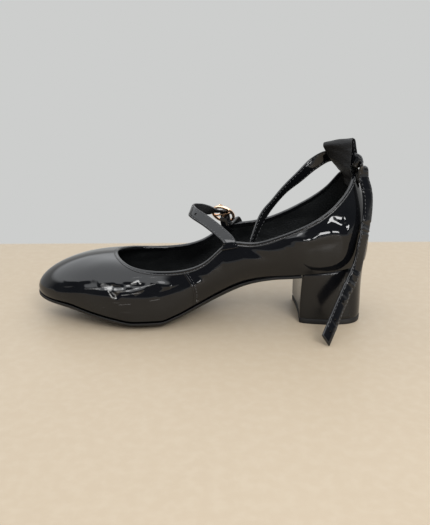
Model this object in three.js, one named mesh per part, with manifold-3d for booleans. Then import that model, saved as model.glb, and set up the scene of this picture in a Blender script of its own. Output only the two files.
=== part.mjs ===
// Mary jane shoe on a block heel, with an instep strap and a long ankle strap. Right shoe.
// Millimetres, +Z up. The origin is on the floor under the middle of the heel,
// the toe points to -X and the inner side of the foot is at -Y.
import * as THREE from "three";
import { mergeVertices } from "three/addons/utils/BufferGeometryUtils.js";
import Module from "manifold-3d";

const wasm = await Module();
wasm.setup();

// Driving dimensions
const shoeLength = 238;
const ballWidth = 80;
const collarHeight = 104;
const heelBack = 28;
const wall = 2;
const gap = 0.3;

// The tables below are drawn for this base size and graded to the driving dimensions
const baseSize = { length: 238, ball: 80, collar: 104 };
const grade = {
  x: shoeLength / baseSize.length,
  y: ballWidth / baseSize.ball,
  z: collarHeight / baseSize.collar,
};

// Sole and heel
const soleThickness = 2.5;
const soleOverhang = 0.6;
const soleCrown = 4.5;
const soleFlatShare = 0.55;
const soleTipStation = 0.997;
const insoleThickness = 2;
const insoleLift = 0.25;
const insoleBackStation = 0.02;
const insoleTipStation = 0.98;
const breastX = -22;
const seatStartX = -24;
const seatHeight = 37;
const seatSlope = 0.11;
const topPieceThickness = 3.8;
const heelInset = 0.8;
const heelTaper = 0.9;

// Underside of the heel: a block with round corners at the back, narrower at the breast
const heelFoot = { back: 23, front: 26.5, side: 26.5, backCorner: 3.2, frontCorner: 8, narrowing: 0.17 };

// Straps
const strapThickness = 1.8;
const tabThickness = 1.3;

// Height of the middle of the tread above the floor, from the toe to the heel breast
const treadColumns = ["x", "z"];
const treadRows = [
  [-212, 18.0],
  [-197, 14.0],
  [-183, 10.4],
  [-168, 6.2],
  [-153, 2.7],
  [-138, 0],
  [-121, 0],
  [-110, 3.4],
  [-97, 9.4],
  [-79, 18.0],
  [-58, 27.0],
  [-38, 32.4],
].map((row) => graded(named(treadColumns, row)));

// One row for each section of the upper, from the back of the heel along the inner side
// to the toe and back along the outer side.
const upperColumns = [
  "along", "side", "topAlong", "topSide", "top", "swellOut", "swellUp", "leanOut", "leanUp",
];
const upperRows = [
  [26.2, 0, 13.5, 3, 104, 3.5, 20, 13, -20],
  [20.5, -14.5, 13, -9, 102.5, 3.5, 19, 9, -19],
  [6, -24.3, 5.5, -18.5, 92, 4, 16, 6, -17],
  [-16, -26, -13, -26.5, 77, 4.5, 13, 3, -14],
  [-40, -23.5, -38, -28, 66, 6, 10, 2.5, -10],
  [-64, -23, -58, -28, 61, 8, 10, 2, -9],
  [-87, -27, -74, -27.5, 60.5, 7, 13, 2.5, -13],
  [-109, -32.5, -89, -30, 48.5, 6, 14, 2.5, -11],
  [-131, -36, -110.5, -31.5, 42.3, 4.5, 15, 3, -9],
  [-152, -35.5, -134, -28, 43, 4, 16, 7, -5],
  [-173, -30.5, -146, -18.5, 45.5, 4, 16, 16, 0],
  [-192, -23, -150.5, -9, 46.8, 4, 14, 28, 0.5],
  [-204.5, -13, -152, -2, 47.4, 4, 12, 37, 0.5],
  [-209, -1.5, -152, 4, 47, 4, 11, 38, 0],
  [-203, 10.5, -150.5, 11, 45.8, 4, 12, 33, -0.5],
  [-189, 20.5, -145, 20, 44, 4, 14, 20, -1],
  [-170, 29.5, -134, 27.5, 42, 4, 16, 10, -2.5],
  [-148, 37, -114, 30.5, 41.5, 4, 16, 5, -7],
  [-124, 40, -91.5, 30, 46.5, 4, 16, 3, -11],
  [-100, 37.5, -74, 28.5, 57.5, 4.5, 15, 2.5, -13],
  [-76, 31, -57, 28.5, 61, 5, 13, 2.5, -10],
  [-52, 27.5, -38, 28.5, 65.5, 4.5, 12, 2.5, -10],
  [-27, 26.5, -16, 27, 76.5, 4, 13, 3, -14],
  [-3, 25.7, 0, 20.5, 90, 4, 15, 6, -17],
  [17, 17.5, 8, 12.5, 102, 4, 18, 9, -19],
].map((row) => graded(named(upperColumns, row)));
const toeRow = 13;

function named(columns, row) {
  return Object.fromEntries(columns.map((column, i) => [column, row[i]]));
}

// Lengths, widths and heights of a row brought to the driving dimensions
function graded(row) {
  const factors = {
    x: grade.x, along: grade.x, topAlong: grade.x,
    side: grade.y, topSide: grade.y, swellOut: grade.y, leanOut: grade.y,
    z: grade.z, top: grade.z, swellUp: grade.z, leanUp: grade.z,
  };
  return Object.fromEntries(Object.entries(row).map(([column, value]) => [column, value * factors[column]]));
}

// Periodic cubic spline through the values of one column
function splineControls(values) {
  const count = values.length;
  const passes = 40;
  let controls = values;
  for (let pass = 0; pass < passes; pass += 1) {
    const last = controls;
    controls = values.map((value, i) => {
      const neighbours = last[(i + count - 1) % count] + last[(i + 1) % count];
      return (6 * value - neighbours) / 4;
    });
  }
  return controls;
}

function splineAt(controls, u) {
  const count = controls.length;
  const start = Math.floor(u);
  const t = u - start;
  const [a, b, c, d] = [-1, 0, 1, 2].map((step) => controls[(start + step + 2 * count) % count]);
  const edge = (1 - t) ** 3;
  const near = 3 * t ** 3 - 6 * t ** 2 + 4;
  const far = -3 * t ** 3 + 3 * t ** 2 + 3 * t + 1;
  return (a * edge + b * near + c * far + d * t ** 3) / 6;
}

const upperSplines = Object.fromEntries(
  upperColumns.map((column) => [column, splineControls(upperRows.map((row) => row[column]))]),
);
const turns = upperRows.length;

function clamp01(value) {
  return Math.min(1, Math.max(0, value));
}

function smooth(value) {
  const t = clamp01(value);
  return t * t * (3 - 2 * t);
}

const tiny = 1e-6;

// Middle of the tread, straight over the heel seat
function treadHeight(x) {
  if (x >= seatStartX) {
    return seatHeight + seatSlope * (x - seatStartX) - soleThickness - gap;
  }
  const seat = { x: seatStartX, z: seatHeight - soleThickness - gap };
  const beyond = { x: 0, z: seat.z - seatStartX * seatSlope };
  const rows = [...treadRows, seat, beyond];
  const slopes = rows.map((row, i) => {
    const before = rows[Math.max(0, i - 1)];
    const after = rows[Math.min(rows.length - 1, i + 1)];
    const left = (row.z - before.z) / Math.max(tiny, row.x - before.x);
    const right = (after.z - row.z) / Math.max(tiny, after.x - row.x);
    return left * right <= 0 ? 0 : (2 * left * right) / (left + right);
  });
  slopes[0] = (rows[1].z - rows[0].z) / (rows[1].x - rows[0].x);
  const i = Math.max(0, rows.findIndex((row) => row.x > x) - 1);
  const width = rows[i + 1].x - rows[i].x;
  const t = (x - rows[i].x) / width;
  const rise = rows[i + 1].z - rows[i].z;
  const start = slopes[i] * width;
  const end = slopes[i + 1] * width;
  return rows[i].z + start * t + (3 * rise - 2 * start - end) * t ** 2 + (start + end - 2 * rise) * t ** 3;
}

// How far the curl of the tread takes to fade in from the toe and out at the waist
const crownFade = { toe: 30, start: 4, waist: 50 };

// The tread is flat across its middle and curls up towards its edges
function crownHeight(x, across) {
  const toe = smooth((x - (heelBack - shoeLength)) / crownFade.toe);
  const waist = smooth((seatStartX - crownFade.start - x) / crownFade.waist);
  const curl = clamp01((Math.abs(across) - soleFlatShare) / (1 - soleFlatShare));
  return soleCrown * toe * waist * curl ** 2;
}

function featherHeight(x, across) {
  return treadHeight(x) + soleThickness + gap + crownHeight(x, across);
}

function curvePoint(alongColumn, sideColumn, u) {
  return new THREE.Vector2(splineAt(upperSplines[alongColumn], u), splineAt(upperSplines[sideColumn], u));
}

// Step for slopes, in sections of the upper
const slopeStep = 0.01;

// Outward direction in plan of a closed outline
function outward(alongColumn, sideColumn, u) {
  const before = curvePoint(alongColumn, sideColumn, u - slopeStep);
  const after = curvePoint(alongColumn, sideColumn, u + slopeStep);
  const travel = after.sub(before).normalize();
  return new THREE.Vector3(-travel.y, travel.x, 0);
}

function outlinePoint(u, offset) {
  const plan = curvePoint("along", "side", u);
  const out = outward("along", "side", u);
  return new THREE.Vector3(plan.x + out.x * offset, plan.y + out.y * offset, 0);
}

// A point on the outside of the upper: u goes round the shoe, v from the sole to the topline
function upperPoint(u, v) {
  const value = (column) => splineAt(upperSplines[column], u);
  const foot = new THREE.Vector3(value("along"), value("side"), 0);
  foot.z = featherHeight(foot.x, 1);
  const swell = foot.clone().addScaledVector(outward("along", "side", u), value("swellOut"));
  swell.z += value("swellUp");
  const top = new THREE.Vector3(value("topAlong"), value("topSide"), value("top"));
  const lean = top.clone().addScaledVector(outward("topAlong", "topSide", u), value("leanOut"));
  lean.z += value("leanUp");
  return new THREE.CubicBezierCurve3(foot, swell, lean, top).getPoint(v);
}

function upperNormal(u, v) {
  const round = upperPoint(u + slopeStep, v).sub(upperPoint(u - slopeStep, v));
  const low = Math.max(0, v - slopeStep);
  const high = Math.min(1, v + slopeStep);
  const up = upperPoint(u, high).sub(upperPoint(u, low));
  return up.cross(round).normalize();
}

// A closed solid through loops of points. Closed solids run back to their first loop,
// and open ones are capped at both ends.
function solidThrough(loops, closed) {
  const size = loops[0].length;
  const points = loops.flat();
  const faces = [];
  const bands = closed ? loops.length : loops.length - 1;
  for (let i = 0; i < bands; i += 1) {
    const here = i * size;
    const next = ((i + 1) % loops.length) * size;
    for (let j = 0; j < size; j += 1) {
      const k = (j + 1) % size;
      faces.push([here + j, next + j, next + k], [here + j, next + k, here + k]);
    }
  }
  if (!closed) {
    addCap(points, faces, 0, size, true);
    addCap(points, faces, (loops.length - 1) * size, size, false);
  }
  return facingOut(points, faces);
}

function addCap(points, faces, first, size, reversed) {
  const centre = new THREE.Vector3();
  for (let j = 0; j < size; j += 1) {
    centre.addScaledVector(points[first + j], 1 / size);
  }
  const middle = points.length;
  points.push(centre);
  for (let j = 0; j < size; j += 1) {
    const a = first + j;
    const b = first + ((j + 1) % size);
    faces.push(reversed ? [middle, a, b] : [middle, b, a]);
  }
}

function facingOut(points, faces) {
  const volume = faces.reduce((sum, [a, b, c]) => {
    return sum + points[a].dot(points[b].clone().cross(points[c]));
  }, 0);
  const turned = volume < 0 ? faces.map(([a, b, c]) => [a, c, b]) : faces;
  const geometry = new THREE.BufferGeometry();
  geometry.setAttribute("position", new THREE.Float32BufferAttribute(points.flatMap((p) => p.toArray()), 3));
  geometry.setIndex(turned.flat());
  geometry.computeVertexNormals();
  return geometry;
}

function steps(count, from = 0, to = 1) {
  return Array.from({ length: count + 1 }, (_, i) => from + ((to - from) * i) / count);
}

// How finely each kind of piece is divided
const facets = { around: 104, rise: 10, length: 40, width: 8, strap: 56, tab: 36, shortTab: 10 };

function upperGeometry() {
  const rise = steps(facets.rise);
  const loops = steps(facets.around, 0, turns).slice(0, facets.around).map((u) => {
    const outer = rise.map((v) => upperPoint(u, v));
    const inner = rise.map((v) => upperPoint(u, v).addScaledVector(upperNormal(u, v), -wall));
    return [...outer, ...inner.reverse()];
  });
  return solidThrough(loops, true);
}

// Places on the inner and the outer edge. Station 0 is the back of the heel and 1 the tip of the toe.
function bothEdges(place) {
  return { inner: place * toeRow, outer: turns - place * (turns - toeRow) };
}

// A sheet under the foot between the inner and outer edges, from one pair of places to another
function sheetGeometry(from, to, offset, lift, thickness) {
  const across = steps(facets.width, -1, 1);
  const loops = steps(facets.length).map((t) => {
    const inner = outlinePoint(THREE.MathUtils.lerp(from.inner, to.inner, t), offset);
    const outer = outlinePoint(THREE.MathUtils.lerp(from.outer, to.outer, t), offset);
    const place = (share, height) => {
      const point = inner.clone().lerp(outer, (share + 1) / 2);
      point.z = featherHeight(point.x, share) + height;
      return point;
    };
    const under = across.map((share) => place(share, lift));
    const over = across.map((share) => place(share, lift + thickness));
    return [...under, ...over.reverse()];
  });
  return solidThrough(loops, false);
}

// Place on the inner or outer edge that reaches a given length along the shoe
function stationAt(x, side) {
  const u = (place) => (side < 0 ? bothEdges(place).inner : bothEdges(place).outer);
  let low = 0;
  let high = 1;
  const halvings = 30;
  for (let pass = 0; pass < halvings; pass += 1) {
    const middle = (low + high) / 2;
    const beyond = splineAt(upperSplines.along, u(middle)) > x;
    low = beyond ? middle : low;
    high = beyond ? high : middle;
  }
  return u(low);
}

// The underside's outline in the direction of a point
function heelFootPoint(point) {
  const { back, front, side, backCorner, frontCorner, narrowing } = heelFoot;
  const length = Math.hypot(point.x, point.y);
  const behind = point.x > 0;
  const corner = behind ? backCorner : frontCorner;
  const lengthways = Math.abs(point.x / length / (behind ? back : front));
  const sideways = Math.abs(point.y / length / side);
  const reach = (lengthways ** corner + sideways ** corner) ** (-1 / corner);
  const foot = new THREE.Vector3((point.x * reach) / length, (point.y * reach) / length, 0);
  foot.y *= 1 - narrowing * clamp01(-foot.x / front) ** 2;
  return foot;
}

// Outline of the heel, round the back and straight across the breast. A share of 0 follows
// the seat of the upper and a share of 1 the underside.
function heelLoop(share, height) {
  const first = stationAt(breastX, 1) - turns;
  const last = stationAt(breastX, -1);
  const seat = steps(facets.length, first, last).map((u) => outlinePoint(u, -heelInset));
  const round = seat.map((point) => point.clone().lerp(heelFootPoint(point), share));
  const breast = steps(facets.width).slice(1, -1).map((t) => round.at(-1).clone().lerp(round[0], t));
  return [...round, ...breast].map((point) => point.setZ(height(point)));
}

function heelGeometry() {
  const seat = (point) => seatHeight + seatSlope * (point.x - seatStartX) - gap;
  const bottom = topPieceThickness + gap;
  const loops = steps(facets.width).map((drop) => {
    const share = Math.sin((drop * Math.PI) / 2) ** heelTaper;
    return heelLoop(share, (point) => seat(point) + (bottom - seat(point)) * drop);
  });
  return solidThrough(loops, false);
}

function topPieceGeometry() {
  return solidThrough([heelLoop(1, () => 0), heelLoop(1, () => topPieceThickness)], false);
}

// Half of a strap's section with bevelled edges, as shares of its half width and half thickness
const strapEdge = { side: 0.88, face: 0.4 };

// A flat strap: each station has a centre and the direction of its width
function ribbonGeometry(stations, width, thickness, count, slant = 0) {
  const { side, face: low } = strapEdge;
  const curve = (column) => {
    return new THREE.CatmullRomCurve3(stations.map((station) => new THREE.Vector3(...station[column])));
  };
  const centres = curve("centre");
  const widths = curve("across");
  const loops = steps(count).map((t) => {
    const centre = centres.getPoint(t);
    const travel = centres.getTangent(t);
    const across = widths.getPoint(t);
    across.addScaledVector(travel, -across.dot(travel)).normalize();
    const face = travel.clone().cross(across).normalize();
    const cut = t === 1 ? slant : 0;
    const corner = (a, f) => centre.clone()
      .addScaledVector(across, (a * width) / 2)
      .addScaledVector(travel, a * cut)
      .addScaledVector(face, (f * thickness) / 2);
    return [
      corner(-1, -low), corner(-side, -1), corner(side, -1), corner(1, -low),
      corner(1, low), corner(side, 1), corner(-side, 1), corner(-1, low),
    ];
  });
  return solidThrough(loops, false);
}

const stationColumns = ["centre", "across"];

function station(row) {
  const { centre, across } = named(stationColumns, row);
  return { centre: [centre[0] * grade.x, centre[1] * grade.y, centre[2] * grade.z], across };
}

// The instep strap leaves the topline of the inner side, turns at its front and runs
// through the ring buckle down the outer side.
const instepStrapWidth = 8;
const instepStations = [
  [[-73.2, -27.1, 63.8], [1, 0, 0.1]],
  [[-78.8, -22.8, 67.4], [0.95, 0.1, 0.3]],
  [[-87.8, -14.5, 72.6], [0.85, 0.1, 0.5]],
  [[-97.3, -4.5, 76.6], [0.65, 0.1, 0.75]],
  [[-98.0, 6.0, 76.4], [0.3, 0.1, 0.95]],
  [[-92.0, 13.5, 74.6], [0.3, 0, 0.95]],
].map(station);

// The ankle strap ends inside the shoe, runs through the tab at the back and hangs down
// outside the inner side of the heel, with the corner of its end on the floor.
const ankleStrapWidth = 9;
const ankleStations = [
  [[-58.2, -17.0, 46.0], [0.35, 0.8, -0.4]],
  [[-55.8, -13.0, 59.0], [0.35, 0.8, -0.5]],
  [[-48.6, -4.5, 73.4], [0.4, 0.6, -0.7]],
  [[-40.3, 3.0, 82.0], [0.2, 0.65, -0.75]],
  [[-31.7, 9.0, 90.2], [0.25, 0.6, -0.75]],
  [[-20.8, 13.6, 98.6], [0.3, 0.3, -0.85]],
  [[-11.0, 16.4, 106.8], [0.25, 0, -0.9]],
  [[-2.2, 13.8, 112.6], [0.7, 0.15, -1]],
  [[4.0, 6.6, 113.8], [0.5, 0, -1]],
  [[10.2, -1.8, 113.8], [0.15, -0.2, -1]],
  [[13.6, -7.4, 113.6], [0, -0.35, -1]],
  [[17.2, -11.6, 110.4], [0.5, 0.2, -0.8]],
  [[18.8, -12.2, 102.0], [0.85, 0.5, -0.1]],
  [[21.4, -14.0, 92.5], [0.85, 0.5, 0]],
  [[21.7, -17.6, 77.6], [0.8, 0.6, 0]],
  [[18.2, -24.0, 61.2], [0.8, 0.6, 0]],
  [[14.4, -28.5, 43.5], [0.8, 0.5, 0]],
  [[3.6, -41.8, 25.8], [0.76, 0.35, -0.5]],
  [[-3.9, -52.0, 14.4], [0.72, 0.2, -0.66]],
  [[-10.5, -61.0, 4.2], [0.72, 0.2, -0.66]],
].map(station);
const pointSlant = 1.5;

// The tab at the back is one band folded over at its top, with the ankle strap inside
const tabWidth = 21;
const tabFoot = 106;
const tabTop = 125;
const tabSlack = 3.4;
// Place in plan, turn in degrees and tilt of the tab at its foot and at its top
const tabLow = { x: 10.2, y: 2, turn: 14, tilt: 0.02 };
const tabHigh = { x: 3.2, y: 4, turn: 62, tilt: 0.22 };
const tabLevels = [0, 0.16, 0.42, 0.68, 0.9];

function tabStation(level, side) {
  const between = (key) => tabLow[key] + (tabHigh[key] - tabLow[key]) * level;
  const turn = THREE.MathUtils.degToRad(between("turn"));
  const x = between("x") - Math.cos(turn) * side;
  const y = between("y") - Math.sin(turn) * side;
  const z = tabFoot + (tabTop - tabFoot) * level;
  return station([[x, y, z], [Math.sin(turn), -Math.cos(turn), between("tilt")]]);
}

function tabStations() {
  const front = tabLevels.map((level) => tabStation(level, tabSlack));
  const back = tabLevels.map((level) => tabStation(level, -tabSlack)).reverse();
  return [...front, tabStation(1, 0), ...back];
}

// The free end of the instep strap, down the outside of the outer quarter
const instepEnd = [
  [[-66.0, 32.2, 61.4], [0.8, -0.2, 0.5]],
  [[-62.5, 33.3, 52.0], [0.9, 0, 0.4]],
  [[-58.8, 34.4, 41.0], [0.9, 0, 0.3]],
].map(station);

// Ring buckle on the outer side. Its own axes: along the strap, across it and outwards.
const ringRadius = 8;
const wireRadius = 1.1;
const barRadius = 0.75;
const prongRadius = 0.7;
const prongLength = 7.4;
const prongStart = 0.8;
const prongHeight = 4.5;
const ringPlace = new THREE.Vector3(-75.6 * grade.x, 22.2 * grade.y, 68.3 * grade.z);
const ringAlong = new THREE.Vector3(0.52, 0.39, -0.76).normalize();
const ringOut = new THREE.Vector3(0.31, 0.75, 0.6).projectOnPlane(ringAlong).normalize();
const ringAcross = ringOut.clone().cross(ringAlong).normalize();
const ringBasis = new THREE.Matrix4().makeBasis(ringAlong, ringAcross, ringOut).setPosition(ringPlace);

function ringStation([along, out]) {
  const centre = new THREE.Vector3(along, 0, out).applyMatrix4(ringBasis);
  return { centre: centre.toArray(), across: ringAcross.clone().negate().toArray() };
}

// Where the strap and the short tab pass the ring: [along, outwards]
const strapThroughRing = [[-8.2, -4.1], [-4.2, -0.8], [0, 2.6], [4.2, -0.8], [8, -3.9]];
const tabUnderRing = [[1.6, -1.6], [4.6, -4.3], [8, -6.7], [10.6, -6.8]];
const buckleTabWidth = 7;
const buckleTabThickness = 1.2;

function asSolid(geometry) {
  const bare = geometry.clone();
  bare.deleteAttribute("normal");
  bare.deleteAttribute("uv");
  const merged = mergeVertices(bare);
  const mesh = new wasm.Mesh({
    numProp: 3,
    vertProperties: merged.getAttribute("position").array,
    triVerts: merged.getIndex().array,
  });
  return new wasm.Manifold(mesh);
}

function asGeometry(solid) {
  const mesh = solid.getMesh();
  const geometry = new THREE.BufferGeometry();
  geometry.setAttribute("position", new THREE.BufferAttribute(mesh.vertProperties, 3));
  geometry.setIndex(new THREE.BufferAttribute(mesh.triVerts, 1));
  geometry.computeVertexNormals();
  return geometry;
}

// The ring with the bar across its middle
function ringGeometry() {
  const section = 8;
  const around = 36;
  const ring = asSolid(new THREE.TorusGeometry(ringRadius, wireRadius, section, around));
  const bar = asSolid(new THREE.CylinderGeometry(barRadius, barRadius, 2 * ringRadius, section));
  return asGeometry(ring.add(bar));
}

// The prong lies over the strap from the bar to the front of the ring
function prongGeometry() {
  const prong = new THREE.CapsuleGeometry(prongRadius, prongLength, 4, 8);
  prong.rotateZ(Math.PI / 2);
  prong.translate(-prongLength / 2 - prongStart, 0, prongHeight);
  return prong;
}

const patent = { color: "#0b0b0d", roughness: 0.12, metalness: 0 };
const lining = { color: "#17191b", roughness: 0.85, metalness: 0 };
const soleLook = { color: "#151517", roughness: 0.6, metalness: 0 };
const gold = { color: "#d9a878", roughness: 0.2, metalness: 1 };

const shoe = new THREE.Group();

function addPiece(name, geometry, look) {
  const mesh = new THREE.Mesh(geometry, new THREE.MeshStandardMaterial(look));
  mesh.name = name;
  shoe.add(mesh);
  return mesh;
}

const soleBackX = breastX - gap;
const soleBack = { inner: stationAt(soleBackX, -1), outer: stationAt(soleBackX, 1) };
const soleTip = bothEdges(soleTipStation);
const outsole = sheetGeometry(soleBack, soleTip, soleOverhang, -gap - soleThickness, soleThickness);
const insoleBack = bothEdges(insoleBackStation);
const insoleTip = bothEdges(insoleTipStation);
const insole = sheetGeometry(insoleBack, insoleTip, -wall - 2 * gap, insoleLift, insoleThickness);
const instepRoute = [...instepStations, ...strapThroughRing.map(ringStation), ...instepEnd];
const instepStrap = ribbonGeometry(instepRoute, instepStrapWidth, strapThickness, facets.strap);
const ankleStrap = ribbonGeometry(ankleStations, ankleStrapWidth, strapThickness, facets.strap, pointSlant);
const heelTab = ribbonGeometry(tabStations(), tabWidth, tabThickness, facets.tab);
const buckleRoute = tabUnderRing.map(ringStation);
const buckleTab = ribbonGeometry(buckleRoute, buckleTabWidth, buckleTabThickness, facets.shortTab);

addPiece("upper", upperGeometry(), patent);
addPiece("outsole", outsole, soleLook);
addPiece("insole", insole, lining);
addPiece("heel", heelGeometry(), patent);
addPiece("top_piece", topPieceGeometry(), soleLook);
addPiece("instep_strap", instepStrap, patent);
addPiece("ankle_strap", ankleStrap, patent);
addPiece("heel_tab", heelTab, lining);
addPiece("buckle_ring", ringGeometry(), gold).applyMatrix4(ringBasis);
addPiece("buckle_prong", prongGeometry(), gold).applyMatrix4(ringBasis);
addPiece("buckle_tab", buckleTab, patent);

export default shoe;
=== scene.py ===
# Mary jane shoe in black patent leather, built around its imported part. Right shoe, toe to -X.
import math

import bpy
import numpy as np
from mathutils import Matrix, Vector


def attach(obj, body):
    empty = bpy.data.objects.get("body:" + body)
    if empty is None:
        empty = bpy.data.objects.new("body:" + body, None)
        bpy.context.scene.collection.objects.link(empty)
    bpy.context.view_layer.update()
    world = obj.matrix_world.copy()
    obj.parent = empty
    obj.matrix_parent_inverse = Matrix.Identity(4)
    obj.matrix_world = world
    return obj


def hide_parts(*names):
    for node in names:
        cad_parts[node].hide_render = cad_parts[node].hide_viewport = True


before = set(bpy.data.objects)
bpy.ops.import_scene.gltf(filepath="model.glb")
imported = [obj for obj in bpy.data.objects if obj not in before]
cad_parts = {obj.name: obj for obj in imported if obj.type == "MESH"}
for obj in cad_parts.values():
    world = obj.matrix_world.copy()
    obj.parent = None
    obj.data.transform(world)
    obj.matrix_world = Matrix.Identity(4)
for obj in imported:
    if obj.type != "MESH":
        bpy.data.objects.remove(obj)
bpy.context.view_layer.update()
mm = 0.001
print("frame loaded:", len(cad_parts), "solids")


view = {
    "lens": 45.4, "sensor": 36, "nearest": 0.01,
    "distance": 0.480, "elevation": 19, "azimuth": -1, "target": (-0.082, 0, 0.038),
}


def addCamera():
    data = bpy.data.cameras.new("camera")
    data.lens = view["lens"]
    data.sensor_width = view["sensor"]
    data.clip_start = view["nearest"]
    camera = bpy.data.objects.new("camera", data)
    bpy.context.scene.collection.objects.link(camera)
    az, el = math.radians(view["azimuth"]), math.radians(view["elevation"])
    back = Vector((math.sin(az) * math.cos(el), -math.cos(az) * math.cos(el), math.sin(el)))
    camera.location = Vector(view["target"]) + back * view["distance"]
    camera.rotation_euler = (-back).to_track_quat("-Z", "Y").to_euler()
    bpy.context.scene.camera = camera


addCamera()
bpy.context.scene.view_settings.view_transform = "Standard"


class Wire:  # a node's output that can be used in sums
    def __init__(self, board, socket):
        self.board = board
        self.socket = socket

    def math(self, operation, first, second):
        return self.board.node("ShaderNodeMath", {"operation": operation}, {0: first, 1: second})

    def __add__(self, other):
        return self.math("ADD", self, other)

    __radd__ = __add__

    def __sub__(self, other):
        return self.math("SUBTRACT", self, other)

    def __rsub__(self, other):
        return self.math("SUBTRACT", other, self)

    def __mul__(self, other):
        return self.math("MULTIPLY", self, other)

    __rmul__ = __mul__

    def __pow__(self, other):
        return self.math("POWER", self, other)

    def largest(self, other):
        return self.math("MAXIMUM", self, other)

    def smallest(self, other):
        return self.math("MINIMUM", self, other)


class Board:  # the node tree of a material or of the world
    def __init__(self, tree):
        self.tree = tree
        tree.nodes.clear()

    def node(self, kind, settings=None, sockets=None, out=0):
        made = self.tree.nodes.new(kind)
        for name, value in (settings or {}).items():
            if name == "stops":
                self.setStops(made.color_ramp, value)
            else:
                setattr(made, name, value)
        for name, value in (sockets or {}).items():
            if isinstance(value, Wire):
                self.tree.links.new(value.socket, made.inputs[name])
            else:
                made.inputs[name].default_value = value
        return Wire(self, made.outputs[out]) if len(made.outputs) else made

    def setStops(self, ramp, stops):
        while len(ramp.elements) < len(stops):
            ramp.elements.new(0.5)
        for element, (place, colour) in zip(ramp.elements, stops):
            element.position = place
            element.color = colour

    def coordinates(self, kind="Object"):
        return self.node("ShaderNodeTexCoord", out=kind)

    def noise(self, where, scale, detail=3, out=0, roughness=0.5):
        return self.node("ShaderNodeTexNoise", {}, {
            "Vector": where, "Scale": scale, "Detail": detail, "Roughness": roughness}, out)

    def stretched(self, where, scale, turn=(0, 0, 0)):
        return self.node("ShaderNodeMapping", {}, {"Vector": where, "Scale": scale, "Rotation": turn})

    def between(self, value, low, high, first=0.0, last=1.0, kind="SMOOTHSTEP"):
        return self.node("ShaderNodeMapRange", {"interpolation_type": kind}, {
            "Value": value, "From Min": low, "From Max": high, "To Min": first, "To Max": last})

    def blend(self, share, first, second):
        return self.node("ShaderNodeMix", {"data_type": "RGBA"}, {0: share, 6: first, 7: second}, out=2)

    def parts(self, vector):
        made = self.tree.nodes.new("ShaderNodeSeparateXYZ")
        self.tree.links.new(vector.socket, made.inputs[0])
        return [Wire(self, socket) for socket in made.outputs]

    def bump(self, height, distance, strength=1.0, onto=None):
        sockets = {"Height": height, "Distance": distance, "Strength": strength}
        if onto:
            sockets["Normal"] = onto
        return self.node("ShaderNodeBump", {}, sockets)


backdropColour = (0.61, 0.617, 0.61, 1)
room = {
    "ceiling": (2.05, 2.10, 2.15, 1), "ceilingFrom": 0.36, "ceilingTo": 0.52,
    "front": (0.085, 0.095, 0.115, 1), "back": (0.62, 0.625, 0.62, 1), "turnWidth": 0.25,
}


def addWorld():
    world = bpy.data.worlds.new("room")
    bpy.context.scene.world = world
    world.use_nodes = True
    board = Board(world.node_tree)
    x, y, z = board.parts(board.coordinates("Generated"))
    ceiling = board.between(z, room["ceilingFrom"], room["ceilingTo"])
    behind = board.between(y, -room["turnWidth"], room["turnWidth"])
    walls = board.blend(behind, room["front"], room["back"])
    light = board.blend(ceiling, walls, room["ceiling"])
    seen = board.node("ShaderNodeLightPath", out="Is Camera Ray")
    light = board.blend(seen, light, backdropColour)
    glow = board.node("ShaderNodeBackground", {}, {"Color": light, "Strength": 1.0})
    board.node("ShaderNodeOutputWorld", {}, {"Surface": glow})


addWorld()

softboxes = {
    # name: place, aim, width, height, watts
    "lowLeft": ((0.30, -1.55, 0.20), (-0.02, -0.03, 0.06), 0.20, 0.10, 0.7),
    "lowMiddle": ((0.62, -1.44, 0.22), (-0.02, -0.03, 0.06), 0.30, 0.13, 1.9),
    "lowRight": ((0.96, -1.25, 0.26), (0.0, -0.03, 0.07), 0.28, 0.13, 2.0),
    "front": ((0.25, -1.3, 1.3), (-0.05, -0.05, 0.03), 0.9, 0.6, 7.0),
    "key": ((0.42, -1.25, 0.95), (-0.05, -0.05, 0.0), 0.7, 0.5, 20.0),
}
unseenLamps = ["key"]


def addSoftboxes():
    for name, (place, aim, width, height, watts) in softboxes.items():
        data = bpy.data.lights.new(name, "AREA")
        data.shape = "RECTANGLE"
        data.size = width
        data.size_y = height
        data.energy = watts
        lamp = bpy.data.objects.new(name, data)
        bpy.context.scene.collection.objects.link(lamp)
        lamp.location = place
        lamp.rotation_euler = (Vector(aim) - Vector(place)).to_track_quat("-Z", "Y").to_euler()
        lamp.visible_glossy = name not in unseenLamps


addSoftboxes()
print("camera, room and lights set")


# Small helpers for modelling
def clearSelection():
    if bpy.context.object and bpy.context.object.mode != "OBJECT":
        bpy.ops.object.mode_set(mode="OBJECT")
    bpy.ops.object.select_all(action="DESELECT")


def pick(piece):
    clearSelection()
    piece.select_set(True)
    bpy.context.view_layer.objects.active = piece


def closeUp(piece, fill=True, merge=0.002 * mm):
    pick(piece)
    bpy.ops.object.mode_set(mode="EDIT")
    bpy.ops.mesh.select_all(action="SELECT")
    bpy.ops.mesh.remove_doubles(threshold=merge)
    if fill:
        bpy.ops.mesh.select_all(action="DESELECT")
        bpy.ops.mesh.select_non_manifold()
        bpy.ops.mesh.fill_holes(sides=0)
    bpy.ops.mesh.select_all(action="SELECT")
    bpy.ops.mesh.normals_make_consistent(inside=False)
    bpy.ops.object.mode_set(mode="OBJECT")


def softShade(piece, angle=40):
    pick(piece)
    bpy.ops.object.shade_smooth_by_angle(angle=math.radians(angle))


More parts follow.
